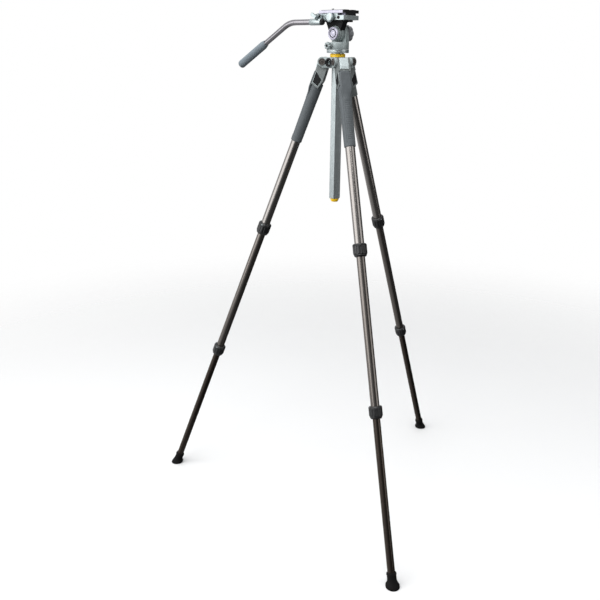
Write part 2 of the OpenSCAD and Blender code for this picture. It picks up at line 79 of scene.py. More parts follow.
# Radii of the leg's parts, and half the width of the bracket's cheeks
GRIP_TOP_R = 17.5
GRIP_END_R = 15.5
SLEEVE_R = 15.05
GRIP_BORE_R = 13.1
LOWER_TUBE_R = 10.05
CHEEK_Y = 17.6

# The grip's tongue: its outer face from the leg's centre line, and its half angle in degrees
TONGUE_X = 12.6
TONGUE_EDGE = 50.0

# Height of the foot with its neck
FOOT_HEIGHT = 38.0

# The middle of the column at the level of the leg hinges, in metres
PAN_ABOVE_HINGES = 45.0
COLUMN_FOOT = Vector(JOINTS["pan"]["pos_m"]) - Vector((0, 0, PAN_ABOVE_HINGES * MM))

# Heights of the head's parts over the hinge level, and the camera plate's ends
TILT_AXIS_Z = 74.0
CLAMP_Z = 113.5
PLATE_FRONT = -44.0
PLATE_LENGTH = 90.0
PLATE_TOP = 131.7

# The pan handle: its axis in the bracket, its bend, and where its grip starts after the bend
HANDLE_X = -43.0
HANDLE_Z = 102.5
HANDLE_REACH = 117.0
BEND_R = 80.0
BEND = 30.0
HANDLE_DROP = 86.0
HANDLE_GRIP = 123.0
WING_TURN = -30.0

# Light: the side that the room is brightest on, and the floor
BRIGHT_SIDE = -160.0
FLOOR_RADIUS = 3.0
FLOOR_SHADE = 0.8


# ---------- meshes ----------

def wave(angle, count, sharpness=1.0):
    """0 on the ridges and 1 in the valleys of a ring of evenly spaced flutes."""
    return (0.5 - 0.5 * math.cos(count * angle)) ** sharpness


def window(z, low, high, fade):
    """1 between low and high, falling smoothly to 0 over the fade at each end."""
    t = min(z - low, high - z) / fade
    t = max(0.0, min(1.0, t))
    return t * t * (3 - 2 * t)


def rounded(points, radius, steps=4, closed=False):
    """The outline with each corner replaced by a curve that starts a radius away from it."""
    result = []
    count = len(points)
    for i, point in enumerate(points):
        if not closed and i in (0, count - 1):
            result.append(tuple(point))
            continue
        here = Vector(point)
        before = Vector(points[i - 1]) - here
        after = Vector(points[(i + 1) % count]) - here
        start = here + before.normalized() * min(radius, before.length * 0.49)
        end = here + after.normalized() * min(radius, after.length * 0.49)
        for step in range(steps + 1):
            t = step / steps
            result.append(tuple(start * (1 - t) ** 2 + here * (2 * t * (1 - t)) + end * t * t))
    return result


def loft(rings, wrap=False):
    """Mesh through rings with equal numbers of points, with flat ends, or joined end to end with wrap."""
    sides = len(rings[0])
    vertices = [point for ring in rings for point in ring]
    faces = []
    for i in range(len(rings) if wrap else len(rings) - 1):
        a = i * sides
        b = (i + 1) % len(rings) * sides
        for j in range(sides):
            k = (j + 1) % sides
            faces.append((a + j, a + k, b + k, b + j))
    if not wrap:
        faces.append(tuple(reversed(range(sides))))
        faces.append(tuple(range(len(vertices) - sides, len(vertices))))
    return vertices, faces


def turned(profile, sides=96, relief=None, wrap=False):
    """Profile of (radius, z) turned about Z. relief(angle, z, radius) is added to the radius."""
    rings = []
    for radius, z in profile:
        ring = []
        for j in range(sides):
            angle = TAU * j / sides
            r = radius + (relief(angle, z, radius) if relief else 0.0)
            ring.append((r * math.cos(angle), r * math.sin(angle), z))
        rings.append(ring)
    return loft(rings, wrap)


def extruded(outline, low, high, bevel=0.0):
    """Outline in XY given thickness from z = low to high, with its end edges cut back by the bevel."""
    if not bevel:
        return loft([[(x, y, z) for x, y in outline] for z in (low, high)])
    centre = sum((Vector(p) for p in outline), Vector((0, 0))) / len(outline)
    small = []
    for x, y in outline:
        toward = centre - Vector((x, y))
        small.append(Vector((x, y)) + toward * min(1.0, bevel / max(toward.length, 1e-6)))
    rings = [[(x, y, low) for x, y in small], [(x, y, low + bevel) for x, y in outline],
             [(x, y, high - bevel) for x, y in outline], [(x, y, high) for x, y in small]]
    return loft(rings)


def circle(radius, sides):
    return [(radius * math.cos(TAU * j / sides), radius * math.sin(TAU * j / sides)) for j in range(sides)]


def level_ring(radius, z, sides, mirror=1):
    """Circle at height z. With mirror = -1 it turns the other way."""
    return [(x, y * mirror, z) for x, y in circle(radius, sides)]


def hexagon_ring(corner, z, sides, mirror=1):
    """Points evenly spaced in angle on a hexagon with the given corner radius."""
    points = []
    for j in range(sides):
        angle = TAU * j / sides
        part = (angle + math.pi / 6) % (math.pi / 3) - math.pi / 6
        r = corner * math.cos(math.pi / 6) / math.cos(part)
        points.append((r * math.cos(angle), r * math.sin(angle) * mirror, z))
    return points


def closely(profile, spacing):
    """The profile with more points on its long lines, for a relief to follow."""
    points = []
    for (r0, z0), (r1, z1) in zip(profile, profile[1:]):
        steps = max(1, int(abs(z1 - z0) / spacing))
        points += [(r0 + (r1 - r0) * i / steps, z0 + (z1 - z0) * i / steps) for i in range(steps)]
    return points + [profile[-1]]


def moved(mesh, matrix):
    vertices, faces = mesh
    return [tuple(matrix @ Vector(v)) for v in vertices], faces


def together(*meshes):
    """Several closed shells as one mesh."""
    vertices, faces = [], []
    for more_vertices, more_faces in meshes:
        offset = len(vertices)
        vertices += more_vertices
        faces += [tuple(i + offset for i in face) for face in more_faces]
    return vertices, faces


def piece(name, body, mesh, place, finish, replaces=(), sharp=32, bevel=0.0):
    """Puts a mesh in millimetres at its place in the frame, on a body, with a finish."""
    data = bpy.data.meshes.new(name)
    data.from_pydata(mesh[0], [], mesh[1])
    work = bmesh.new()
    work.from_mesh(data)
    bmesh.ops.recalc_face_normals(work, faces=work.faces)
    work.to_mesh(data)
    work.free()
    data.transform(place @ Matrix.Scale(MM, 4))
    data.shade_smooth()
    data.set_sharp_from_angle(angle=math.radians(sharp))
    data.materials.append(finish)
    obj = bpy.data.objects.new(name, data)
    bpy.context.scene.collection.objects.link(obj)
    if bevel:
        soften(obj, bevel)
    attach(obj, body)
    if replaces:
        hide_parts(*replaces)
    return obj


def soften(obj, width, angle=28):
    """Small rounded edges, as on a casting or a deburred metal part."""
    bevel = obj.modifiers.new("edges", "BEVEL")
    bevel.width = width * MM
    bevel.segments = 2
    bevel.limit_method = "ANGLE"
    bevel.angle_limit = math.radians(angle)
    bevel.harden_normals = True


def carry(node, finish, edge=0.0):
    """Keeps a CAD node, with a finish and softened edges."""
    obj = NODES[node]
    obj.data.materials.clear()
    obj.data.materials.append(finish)
    weld = obj.modifiers.new("weld", "WELD")
    weld.merge_threshold = 0.00001
    if edge:
        soften(obj, edge)
    return obj


# ---------- places ----------

def facing(origin, direction, toward=(0, 0, 1)):
    """Place at origin with +Z along the direction, and +Y as near to toward as it can be."""
    z = Vector(direction).normalized()
    x = Vector(toward).cross(z)
    if x.length < 1e-6:
        x = Vector((1, 0, 0))
    x.normalize()
    y = z.cross(x)
    place = Matrix((x, y, z)).transposed().to_4x4()
    place.translation = Vector(origin)
    return place


def box_place(node, direction):
    """Place on the axis of a node that lies along an axis of the frame, at the end it starts from,
    with the node's length and its radius in millimetres."""
    low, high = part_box(node)
    middle = (low + high) / 2
    size = high - low
    direction = Vector(direction)
    along = abs(size.dot(Vector([abs(c) for c in direction])))
    sides = [size[i] for i in range(3) if abs(direction[i]) < 0.5]
    start = middle - direction * along / 2
    return facing(start, direction), along / MM, max(sides) / 2 / MM


def head_point(x, y, z):
    """A point given from the column axis at hinge level, in millimetres."""
    return COLUMN_FOOT + Vector((x, y, z)) * MM


def head_place():
    """Frame directions at the column axis and hinge level."""
    return Matrix.Translation(COLUMN_FOOT)


def side_place(y, z):
    """Place on the column's plane with +Z out of the head's -X side and +Y up."""
    return facing(head_point(0, y, z), (-1, 0, 0))


def leg_place(leg):
    """Leg centre line at hinge level: -Z down the tube, +X away from the column."""
    lock = JOINTS[f"{leg}_upper_lock_turn"]
    down = Vector(lock["axis"]).normalized()
    origin = Vector(lock["pos_m"]) - down * UPPER_LOCK_S * MM
    z = -down
    y = z.cross(Vector((down.x, down.y, 0))).normalized()
    x = y.cross(z)
    place = Matrix((x, y, z)).transposed().to_4x4()
    place.translation = origin
    return place


# ---------- finishes ----------

class Finish:
    """A procedural material on a Principled shader, in the object's own coordinates (metres)."""

    def __init__(self, name, color, roughness, metallic=0.0, turn=None, **sockets):
        self.material = bpy.data.materials.new(name)
        self.material.use_nodes = True
        self.tree = self.material.node_tree
        self.shader = self.tree.nodes["Principled BSDF"]
        self.shader.inputs["Base Color"].default_value = (*color, 1)
        self.shader.inputs["Roughness"].default_value = roughness
        self.shader.inputs["Metallic"].default_value = metallic
        for socket, value in sockets.items():
            self.shader.inputs[socket.replace("_", " ")].default_value = value
        self.material.diffuse_color = (*color, 1)
        self.color = tuple(color)
        self.roughness = roughness
        self.space = self.add("ShaderNodeTexCoord").outputs["Object"]
        if turn is not None:
            rotated = self.add("ShaderNodeMapping", {"Vector": self.space}, vector_type="TEXTURE")
            rotated.inputs["Rotation"].default_value = turn.to_euler()
            self.space = rotated.outputs["Vector"]
        self.last_bump = None

    def add(self, kind, links=None, **values):
        node = self.tree.nodes.new(kind)
        for key, value in values.items():
            if hasattr(node, key):
                setattr(node, key, value)
            else:
                node.inputs[key].default_value = value
        for socket, source in (links or {}).items():
            self.tree.links.new(source, node.inputs[socket])
        return node

    def noise(self, size_mm, detail=3.0, stretch=(1, 1, 1)):
        """Noise whose features are about size_mm across, longer along an axis with a stretch over 1."""
        scaled = self.add("ShaderNodeMapping", {"Vector": self.space})
        scaled.inputs["Scale"].default_value = [1 / s for s in stretch]
        texture = self.add("ShaderNodeTexNoise", {"Vector": scaled.outputs["Vector"]}, Detail=detail)
        texture.inputs["Scale"].default_value = 1 / (size_mm * MM)
        return texture.outputs["Fac"]

    def cells(self, size_mm, feature="F1"):
        texture = self.add("ShaderNodeTexVoronoi", {"Vector": self.space}, feature=feature)
        texture.inputs["Scale"].default_value = 1 / (size_mm * MM)
        return texture.outputs["Distance"]

    def vary_color(self, factor, low, high):
        """The base colour times low to high, following the factor."""
        ramp = self.add("ShaderNodeValToRGB", {"Fac": factor})
        ramp.color_ramp.elements[0].position = 0.3
        ramp.color_ramp.elements[1].position = 0.7
        for element, level in zip(ramp.color_ramp.elements, (low, high)):
            element.color = (*[min(1.0, c * level) for c in self.color], 1)
        self.tree.links.new(ramp.outputs["Color"], self.shader.inputs["Base Color"])
        return self

    def vary_roughness(self, factor, spread):
        level = self.add("ShaderNodeMapRange", {"Value": factor})
        level.inputs["From Min"].default_value = 0.3
        level.inputs["From Max"].default_value = 0.7
        level.inputs["To Min"].default_value = max(0.02, self.roughness - spread)
        level.inputs["To Max"].default_value = min(1.0, self.roughness + spread)
        self.tree.links.new(level.outputs["Result"], self.shader.inputs["Roughness"])
        return self

    def bump(self, height, depth_mm, strength=1.0):
        node = self.add("ShaderNodeBump", {"Height": height}, Strength=strength)
        node.inputs["Distance"].default_value = depth_mm * MM
        if self.last_bump:
            self.tree.links.new(self.last_bump, node.inputs["Normal"])
        self.last_bump = node.outputs["Normal"]
        self.tree.links.new(self.last_bump, self.shader.inputs["Normal"])
        return self

    def wear(self, color, width_mm, amount=0.7):
        """Rubbed edges: the colour shows where the surface turns sharply, in broken patches."""
        edge = self.add("ShaderNodeBevel", samples=4, Radius=width_mm * MM)
        surface = self.add("ShaderNodeNewGeometry")
        dot = self.add("ShaderNodeVectorMath", operation="DOT_PRODUCT")
        self.tree.links.new(edge.outputs["Normal"], dot.inputs[0])
        self.tree.links.new(surface.outputs["Normal"], dot.inputs[1])
        mask = self.add("ShaderNodeMapRange", {"Value": dot.outputs["Value"]})
        mask.inputs["From Min"].default_value = 0.99
        mask.inputs["From Max"].default_value = 0.86
        patches = self.add("ShaderNodeMapRange", {"Value": self.noise(2.5, 4.0)})
        patches.inputs["From Min"].default_value = 0.42
        patches.inputs["From Max"].default_value = 0.6
        patches.inputs["To Max"].default_value = amount
        both = self.add("ShaderNodeMath", operation="MULTIPLY")
        self.tree.links.new(mask.outputs["Result"], both.inputs[0])
        self.tree.links.new(patches.outputs["Result"], both.inputs[1])
        mix = self.add("ShaderNodeMix", data_type="RGBA")
        color_a, color_b, mixed = mix.inputs[6], mix.inputs[7], mix.outputs[2]
        base = self.shader.inputs["Base Color"]
        color_a.default_value = (*self.color, 1)
        color_b.default_value = (*color, 1)
        if base.is_linked:
            self.tree.links.new(base.links[0].from_socket, color_a)
        self.tree.links.new(both.outputs["Value"], mix.inputs["Factor"])
        self.tree.links.new(mixed, base)
        return self


def painted_casting(name, color, roughness, wear_color):
    """Metallic paint over a die casting: orange-peel surface, fine flake, rubbed edges."""
    finish = Finish(name, color, roughness, metallic=0.2, Coat_Weight=0.15, Coat_Roughness=0.35)
    finish.vary_color(finish.noise(9, 5), 0.86, 1.14)
    finish.vary_roughness(finish.noise(3.5, 4), 0.08)
    finish.bump(finish.cells(1.1), 0.05, 0.5)
    finish.bump(finish.noise(0.4, 2), 0.03, 0.5)
    finish.wear(wear_color, 0.5, 0.6)
    return finish.material


def satin_metal(name, color, roughness, turn=None, grain=(1, 1, 18), edge=(0.8, 0.83, 0.84), metallic=0.92):
    """Anodised aluminium with fine drawing lines along its grain."""
    finish = Finish(name, color, roughness, metallic=metallic, turn=turn)
    finish.vary_color(finish.noise(16, 4), 0.93, 1.07)
    finish.vary_roughness(finish.noise(0.5, 3, grain), 0.07)
    finish.bump(finish.noise(0.22, 2, grain), 0.012, 0.5)
    finish.wear(edge, 0.35, 0.5)
    return finish.material


def tube_metal(name, color, roughness, turn, tint):
    """Polished dark anodising on a drawn tube: long drawing lines, handling marks and a few scratches."""
    finish = Finish(name, color, roughness, metallic=0.95, turn=turn, Coat_Weight=0.15, Coat_Roughness=0.12,
                    Specular_Tint=(*tint, 1))
    finish.vary_color(finish.noise(5, 4, (1, 1, 30)), 0.94, 1.06)
    finish.vary_roughness(finish.noise(11, 5), 0.05)
    finish.bump(finish.noise(0.3, 2, (1, 1, 80)), 0.004, 0.4)
    finish.bump(finish.noise(2.5, 3, (1, 1, 12)), 0.003, 0.25)
    return finish.material


def rubber(name, color, roughness, pore=0.5, depth=0.05, specular=0.32):
    """Moulded rubber: matt, finely pored, with paler rubbed patches."""
    finish = Finish(name, color, roughness, Specular_IOR_Level=specular)
    finish.vary_color(finish.noise(11, 4), 0.93, 1.08)
    finish.vary_roughness(finish.noise(4, 4), 0.08)
    finish.bump(finish.noise(pore, 3), depth, 0.7)
    finish.wear(tuple(min(1, c * 2.2 + 0.03) for c in color), 0.5, 0.5)
    return finish.material


def moulded_plastic(name, color, roughness):
    """Black glass-filled plastic with a spark-eroded surface."""
    finish = Finish(name, color, roughness, Specular_IOR_Level=0.2)
    finish.vary_color(finish.noise(6, 4), 0.8, 1.3)
    finish.vary_roughness(finish.noise(2.5, 4), 0.09)
    finish.bump(finish.noise(0.35, 2), 0.04, 0.6)
    finish.wear(tuple(min(1, c * 3 + 0.05) for c in color), 0.4, 0.5)
    return finish.material


def spun_disc(name, color, roughness):
    """Turned face with fine rings, from the distance to the tilt axis."""
    finish = Finish(name, color, roughness, metallic=0.9, Anisotropic=0.5)
    centre = JOINTS["tilt"]["pos_m"]
    shifted = finish.add("ShaderNodeMapping", {"Vector": finish.space}, vector_type="TEXTURE")
    shifted.inputs["Location"].default_value = centre
    rings = finish.add("ShaderNodeTexWave", {"Vector": shifted.outputs["Vector"]}, wave_type="RINGS",
                       rings_direction="X", Distortion=0.4)
    rings.inputs["Scale"].default_value = 900
    finish.vary_color(finish.noise(8, 4), 0.94, 1.06)
    finish.vary_roughness(rings.outputs["Fac"], 0.06)
    finish.bump(rings.outputs["Fac"], 0.003, 0.3)
    finish.wear((0.9, 0.9, 0.93), 0.4, 0.6)
    return finish.material


CASTING = painted_casting("grey_casting_paint", (0.285, 0.330, 0.330), 0.44, (0.55, 0.59, 0.59))
BRACKET_PAINT = painted_casting("bracket_paint", (0.180, 0.200, 0.198), 0.42, (0.48, 0.51, 0.51))
DIAL_METAL = painted_casting("dial_paint", (0.26, 0.27, 0.285), 0.40, (0.50, 0.52, 0.53))
CAP_BROWN = painted_casting("hinge_cap_brown", (0.045, 0.038, 0.033), 0.40, (0.28, 0.26, 0.24))
SILVER = satin_metal("satin_silver", (0.42, 0.47, 0.475), 0.38)
PALE_SILVER = satin_metal("pale_silver", (0.42, 0.475, 0.48), 0.38)
PLATE_METAL = satin_metal("plate_anodised", (0.44, 0.425, 0.50), 0.38, grain=(1, 18, 1))
LATCH_SILVER = satin_metal("latch_silver", (0.58, 0.65, 0.66), 0.46, metallic=0.35)
COLUMN_METAL = satin_metal("column_drawn", (0.33, 0.365, 0.37), 0.34, grain=(1, 1, 60))
HUB_DISC = spun_disc("hub_disc_turned", (0.43, 0.418, 0.50), 0.38)
STEEL = satin_metal("bright_steel", (0.56, 0.56, 0.56), 0.24, grain=(1, 1, 1))
SCREW_BLACK = satin_metal("black_oxide_screw", (0.05, 0.05, 0.055), 0.35, edge=(0.3, 0.3, 0.3))
BLACK_METAL = moulded_plastic("black_satin", (0.005, 0.005, 0.006), 0.55)
BLACK_PLASTIC = moulded_plastic("black_moulding", (0.009, 0.009, 0.010), 0.50)
LOCK_RUBBER = rubber("lock_rubber", (0.006, 0.006, 0.0065), 0.34, 0.45, 0.012, specular=0.55)
FOOT_RUBBER = rubber("foot_rubber", (0.004, 0.0035, 0.0035), 0.7, 0.7, 0.07, specular=0.15)
PAD_RUBBER = rubber("pad_rubber", (0.012, 0.012, 0.014), 0.7, 0.4, 0.05)
GRIP_RUBBER = rubber("leg_grip_rubber", (0.090, 0.101, 0.108), 0.60, 0.4, 0.05)
FOAM = rubber("handle_foam", (0.155, 0.185, 0.208), 0.68, 0.8, 0.12)
AMBER = satin_metal("amber_anodised", (1.0, 0.585, 0.002), 0.36, edge=(1.0, 0.80, 0.3), metallic=0.0)
HANDLE_METAL = tube_metal("handle_polished", (0.27, 0.26, 0.275), 0.16, None, (1, 0.98, 1))


# ---------- legs ----------

def twist_lock(leg, level, centre, radius, length, bore, next_bore):
    """Rubber-covered collar with broad flutes between two plain bands, on the mouth of a tube."""
    top = -(centre - length / 2)
    end = -(centre + length / 2)
    outline = [(radius - 2.6, top), (radius, top - 3), (radius, end + 9), (radius - 2.4, end + 3),
               (radius - 4, end)]
    outside = closely(rounded([(bore, top)] + outline + [(next_bore, end)], 1.1), 0.9)
    step_z = -(centre + 12)
    bore_up = [(next_bore, step_z), (bore, step_z)]

    def relief(angle, z, r):
        if r < bore + 2:
            return 0.0
        flutes = -1.15 * wave(angle, 12, 3.0) * window(z, end + 7.5, top - 6.5, 2.2)
        groove = -0.7 * window(z, top - 5.8, top - 4.4, 0.5)
        lower = -0.6 * window(z, end + 5.2, end + 6.6, 0.5)
        return flutes + groove + lower

    mesh = turned(outside + bore_up, 144, relief, wrap=True)
    node = f"{leg}_leg_{level}_lock"
    piece(f"{leg}_{level}_twist_lock", f"{leg}_{level}_twist_lock", mesh, leg_place(leg), LOCK_RUBBER,
          [node])
    mark = turned(rounded([(1.5, 0), (1.5, 0.5), (0.9, 0.75)], 0.3), 24)
    for i, angle in enumerate((75, 255)):
        turn = leg_place(leg) @ Matrix.Rotation(math.radians(angle), 4, "Z")
        spot = turn @ Matrix.Translation(Vector((radius - 0.45, 0, top - 5.1)) * MM)
        piece(f"{leg}_{level}_lock_mark_{i + 1}", f"{leg}_{level}_twist_lock", mark,
              spot @ Matrix.Rotation(math.radians(90), 4, "Y"), SILVER)


def blend(value, points):
    """Straight lines through (value, result) points, held level past both ends."""
    if value <= points[0][0]:
        return points[0][1]
    for (v0, r0), (v1, r1) in zip(points, points[1:]):
        if value <= v1:
            return r0 + (r1 - r0) * (value - v0) / (v1 - v0)
    return points[-1][1]


def tongue_radius(off):
    """Outside of the grip's tongue, off degrees from the leg's outer side."""
    angle = math.radians(min(off, 53.0))
    flat = GRIP_TOP_R / math.cos(angle)
    chamfer = (15 * 4 + 17 * 2.5) / (4 * math.cos(angle) + 2.5 * math.sin(angle))
    return min(flat, chamfer, 17 / max(math.sin(angle), 0.01))


def leg_grip(leg):
    """Rubber grip: a flat tongue up the outer side over the bracket, a cross-ribbed field below it and a
    long channel on each side of the field."""
    sides = 144
    level_from = 97.0

    def off_side(angle):
        return abs((math.degrees(angle) + 180) % 360 - 180)

    def seam(angle):
        return blend(off_side(angle), [(TONGUE_EDGE, TONGUE_TOP_S), (TONGUE_EDGE + 3, 64.0), (121, 70.0),
                                       (133, 58.3)])

    def outer_radius(angle, s):
        off = off_side(angle)
        taper = (s - GRIP_TOP_S) / (GRIP_END_S - GRIP_TOP_S)
        r = GRIP_TOP_R + (GRIP_END_R - GRIP_TOP_R) * taper
        if off < TONGUE_EDGE + 2:
            share = blend(s, [(TONGUE_TOP_S, 0.0), (TONGUE_TOP_S + 2, 0.9), (74, 1.0), (96, 0.0)])
            top_round = blend(s, [(TONGUE_TOP_S, -1.2), (TONGUE_TOP_S + 2.5, 0.0)])
            r += max(0.0, tongue_radius(off) - r) * share + top_round
        field = window(off, -30, 31, 3) * window(s, 104, 214, 3)
        rib = 0.5 + 0.5 * math.cos(TAU * (s - 104) / 5.0)
        channel = window(off, 39, 47, 2.5) * window(s, 84, 222, 5)
        wide_rib = 0.5 + 0.5 * math.cos(TAU * (s - 104) / 10.0)
        back = window(off, 120, 240, 14) * wide_rib * window(s, 104, 214, 8)
        return r - field * (0.3 + 0.6 * rib) - 0.9 * channel - 0.25 * back

    def inner_radius(angle):
        off = off_side(angle)
        if off > TONGUE_EDGE:
            return SLEEVE_R
        return max(SLEEVE_R, (TONGUE_X + 0.05) / math.cos(angle))

    def ring(place_of):
        points = []
        for j in range(sides):
            angle = TAU * j / sides
            r, s = place_of(angle)
            points.append((r * math.cos(angle), r * math.sin(angle), -s))
        return points

    rings = [ring(lambda a: (outer_radius(a, seam(a)) - 1.0, seam(a)))]

    def on_surface(angle, s):
        return outer_radius(angle, s), s

    lead = 20
    for i in range(lead):
        t = i / lead
        rings.append(ring(lambda a: on_surface(a, seam(a) + 0.8 + t * (level_from - seam(a) - 0.8))))
    count = 180
    for i in range(count + 1):
        s = level_from + (GRIP_END_S - 3.0 - level_from) * i / count
        rings.append(ring(lambda a: on_surface(a, s)))
    lip = rounded([(GRIP_END_R, GRIP_END_S - 3), (GRIP_END_R, GRIP_END_S - 2), (GRIP_END_R - 0.8, GRIP_END_S),
                   (GRIP_BORE_R, GRIP_END_S)], 0.8)
    for r, s in lip[1:]:
        rings.append(ring(lambda a: (r, s)))
    rings.append(ring(lambda a: (GRIP_BORE_R, SLEEVE_END_S + 0.3)))
    rings.append(ring(lambda a: (SLEEVE_R, SLEEVE_END_S + 0.3)))
    rings.append(ring(lambda a: (inner_radius(a), seam(a))))
    piece(f"{leg}_grip", f"{leg}_upper_leg", loft(rings, wrap=True), leg_place(leg), GRIP_RUBBER,
          [f"{leg}_leg_grip"])


def foot(leg):
    """Rubber foot: a notched round pad flat on the floor that rises into a neck along the tube."""
    leg_matrix = leg_place(leg)
    down = -(leg_matrix.to_3x3() @ Vector((0, 0, 1)))
    origin = leg_matrix.translation
    ground = origin + down * (origin.z / -down.z)
    heading = Vector((down.x, down.y, 0)).normalized()
    side = Vector((0, 0, 1)).cross(heading)
    tilt = math.acos(-down.z)
    sides = 96
    # (height along the axis, radius, share of the leg's tilt)
    stations = [(0.0, 17.3, 0), (1.2, 18.5, 0), (3.2, 18.5, 0), (3.9, 17.9, 0), (4.6, 18.4, 0),
                (6.0, 18.2, 0), (8.5, 16.9, 0.15), (11.5, 15.2, 0.35), (14.5, 13.8, 0.6),
                (17.5, 12.9, 0.85), (21, 12.5, 1),
                (28, 12.4, 1), (32.0, 12.4, 1), (32.6, 13.5, 1), (37.4, 12.6, 1), (FOOT_HEIGHT, 11.8, 1)]
    rings = []

    def foot_ring(centre, lean, radius, notch_depth=0.0):
        out = heading * math.cos(lean) + Vector((0, 0, 1)) * math.sin(lean)
        points = []
        for j in range(sides):
            angle = TAU * j / sides
            r = (radius - notch_depth * wave(angle, 16, 4.0)) * MM
            points.append(tuple((centre + (out * math.cos(angle) + side * math.sin(angle)) * r) / MM))
        return points

    for height, radius, share in stations:
        centre = ground - down * height * MM
        if share == 0:
            centre = ground + Vector((0, 0, height * MM)) - heading * height * MM * math.tan(tilt)
        rings.append(foot_ring(centre, tilt * share, radius, 0.9 if 0.5 < height < 3.3 else 0.0))
    for height in (FOOT_HEIGHT, FOOT_HEIGHT - 14):
        rings.append(foot_ring(ground - down * height * MM, tilt, LOWER_TUBE_R))
    piece(f"{leg}_rubber_foot", f"{leg}_lower_leg", loft(rings), Matrix.Identity(4), FOOT_RUBBER,
          [f"{leg}_leg_foot"])


def socket_screw_mesh(radius, height, socket, recess=1.4):
    """Cap screw with a hexagonal socket: a closed shell whose top ring steps down into the socket."""
    profile = rounded([(radius, 0), (radius, height), (radius - 0.5, height)], 0.3)
    rings = [level_ring(r, z, 36) for r, z in profile]
    rings += [hexagon_ring(socket, z, 36) for z in (height, height - recess)]
    return loft(rings)


def hinge_pin(leg):
    """Hinge pin with a dished cap and a hexagonal socket on each side."""
    spread = JOINTS[f"{leg}_leg_spread"]
    place = facing(spread["pos_m"], spread["axis"])
    half = 25.5
    shells = [turned(rounded([(3.95, -half), (3.95, half)], 0.1), 48)]
    profile = rounded([(9.2, 25.1), (9.2, 27.0), (8.4, 27.6), (7.4, 27.6), (6.9, 27.1), (4.2, 27.0),
                       (3.4, 27.3)], 0.35)
    for side in (-1, 1):
        cap = [level_ring(r, z * side, 60, side) for r, z in profile]
        cap += [hexagon_ring(2.9, z * side, 60, side) for z in (27.3, 26.0)]
        shells.append(loft(cap))
    piece(f"{leg}_hinge", "canopy", together(*shells), place, CAP_BROWN,
          [f"{leg}_leg_hinge_pin"])


def inlay_rim(leg):
    """Bright raised line round the black inlay on each cheek."""
    outer = rounded([(12.1, -27.4), (11.1, -60.1), (-7.5, -66.1), (-11.8, -44.6)], 1.2, 4, True)
    inner = rounded([(11, -29), (10, -59), (-7, -64.5), (-10.5, -45)], 0.8, 4, True)
    for side, name in ((-1, "left"), (1, "right")):
        y0, y1 = side * (CHEEK_Y - 0.3), side * (CHEEK_Y + 0.2)
        rings = [[(x, y0, z) for x, z in outer], [(x, y1, z) for x, z in outer],
                 [(x, y1, z) for x, z in inner], [(x, y0, z) for x, z in inner]]
        piece(f"{leg}_inlay_rim_{name}", f"{leg}_upper_leg", loft(rings, wrap=True), leg_place(leg),
              PALE_SILVER)


def build_leg(leg):
    turn = leg_place(leg).to_3x3()
    bronze = tube_metal(f"{leg}_tube_bronze", (0.28, 0.262, 0.248), 0.2, turn, (1, 0.97, 0.94))
    brown = tube_metal(f"{leg}_tube_brown", (0.165, 0.148, 0.136), 0.22, turn, (1, 0.96, 0.92))
    dark = tube_metal(f"{leg}_tube_dark", (0.060, 0.047, 0.039), 0.24, turn, (1, 0.94, 0.88))
    carry(f"{leg}_leg_bracket", BRACKET_PAINT, 0.6)
    carry(f"{leg}_leg_angle_button", LATCH_SILVER, 0.9)
    carry(f"{leg}_leg_inlays", BLACK_PLASTIC)
    carry(f"{leg}_leg_upper_tube", bronze)
    carry(f"{leg}_leg_middle_tube", brown)
    carry(f"{leg}_leg_lower_tube", dark)
    carry(f"{leg}_leg_upper_bush", BLACK_PLASTIC)
    carry(f"{leg}_leg_lower_bush", BLACK_PLASTIC)
    hinge_pin(leg)
    inlay_rim(leg)
    twist_lock(leg, "upper", UPPER_LOCK_S, 19.0, 35.0, 13.05, 11.8)
    twist_lock(leg, "lower", LOWER_LOCK_S, 18.0, 33.0, 11.55, 10.3)
    foot(leg)
    if f"{leg}_leg_grip" in NODES:
        leg_grip(leg)


# ---------- centre ----------

def column_parts():
    carry("canopy", CASTING, 0.7)
    carry("column", COLUMN_METAL, 0.8)
    place, height, radius = box_place("column_ring", (0, 0, 1))
    profile = rounded([(radius - 1.4, 0), (radius, 1.2), (radius, height - 1.2), (radius - 1.4, height)], 0.6)
    dense = [(radius, 1.8 + 0.6 * i) for i in range(int((height - 3.6) / 0.6) + 1)]
    half = len(profile) // 2

    def knurl(angle, z, r):
        return -0.22 * wave(angle, 60, 2.0) * window(z, 1.6, height - 1.6, 0.8)

    piece("amber_ring", "column", turned(profile[:half] + dense + profile[half:], 288, knurl), place, AMBER,
          ["column_ring"])
    low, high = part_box("column_end_cap")
    place = facing(((low.x + high.x) / 2, (low.y + high.y) / 2, low.z), (0, 0, 1))
    cap_profile = rounded([(7.8, 0), (9.2, 0.3), (11.4, 5.8), (12.3, 6.2), (12.5, 9.8), (11.6, 10.0)], 0.7)
    cap = turned(cap_profile, 96)
    plug = extruded(circle(13.9, 6), 9.9, 26.0, 0.6)
    piece("amber_end_cap", "column", together(cap, plug), place, AMBER, ["column_end_cap"])
    place = facing(COLUMN_FOOT, JOINTS["column_lock_turn"]["axis"])
    knob = lobed_knob(37.4, 52.0, 8.0, 14.4, 6, 4.0, 16.0)
    piece("column_lock_screw", "column_lock", knob, place, BLACK_PLASTIC,
          ["column_lock_knob"])
    nut = turned(rounded([(4.6, 51.2), (4.6, 52.4), (3.9, 52.7)], 0.3), 6)
    piece("column_lock_nut", "column_lock", nut, place, STEEL)
    recess = facing(COLUMN_FOOT, (-1, 0, 0))
    insert = turned([(8.8, 33.1), (8.8, 37.0), (11.6, 37.05), (11.6, 37.5), (11.0, 37.8), (7.4, 37.8),
                     (6.6, 37.0), (6.6, 34.4), (5.4, 33.8), (5.4, 33.1)], 72, wrap=True)
    piece("accessory_insert", "canopy", insert, recess, BLACK_METAL)


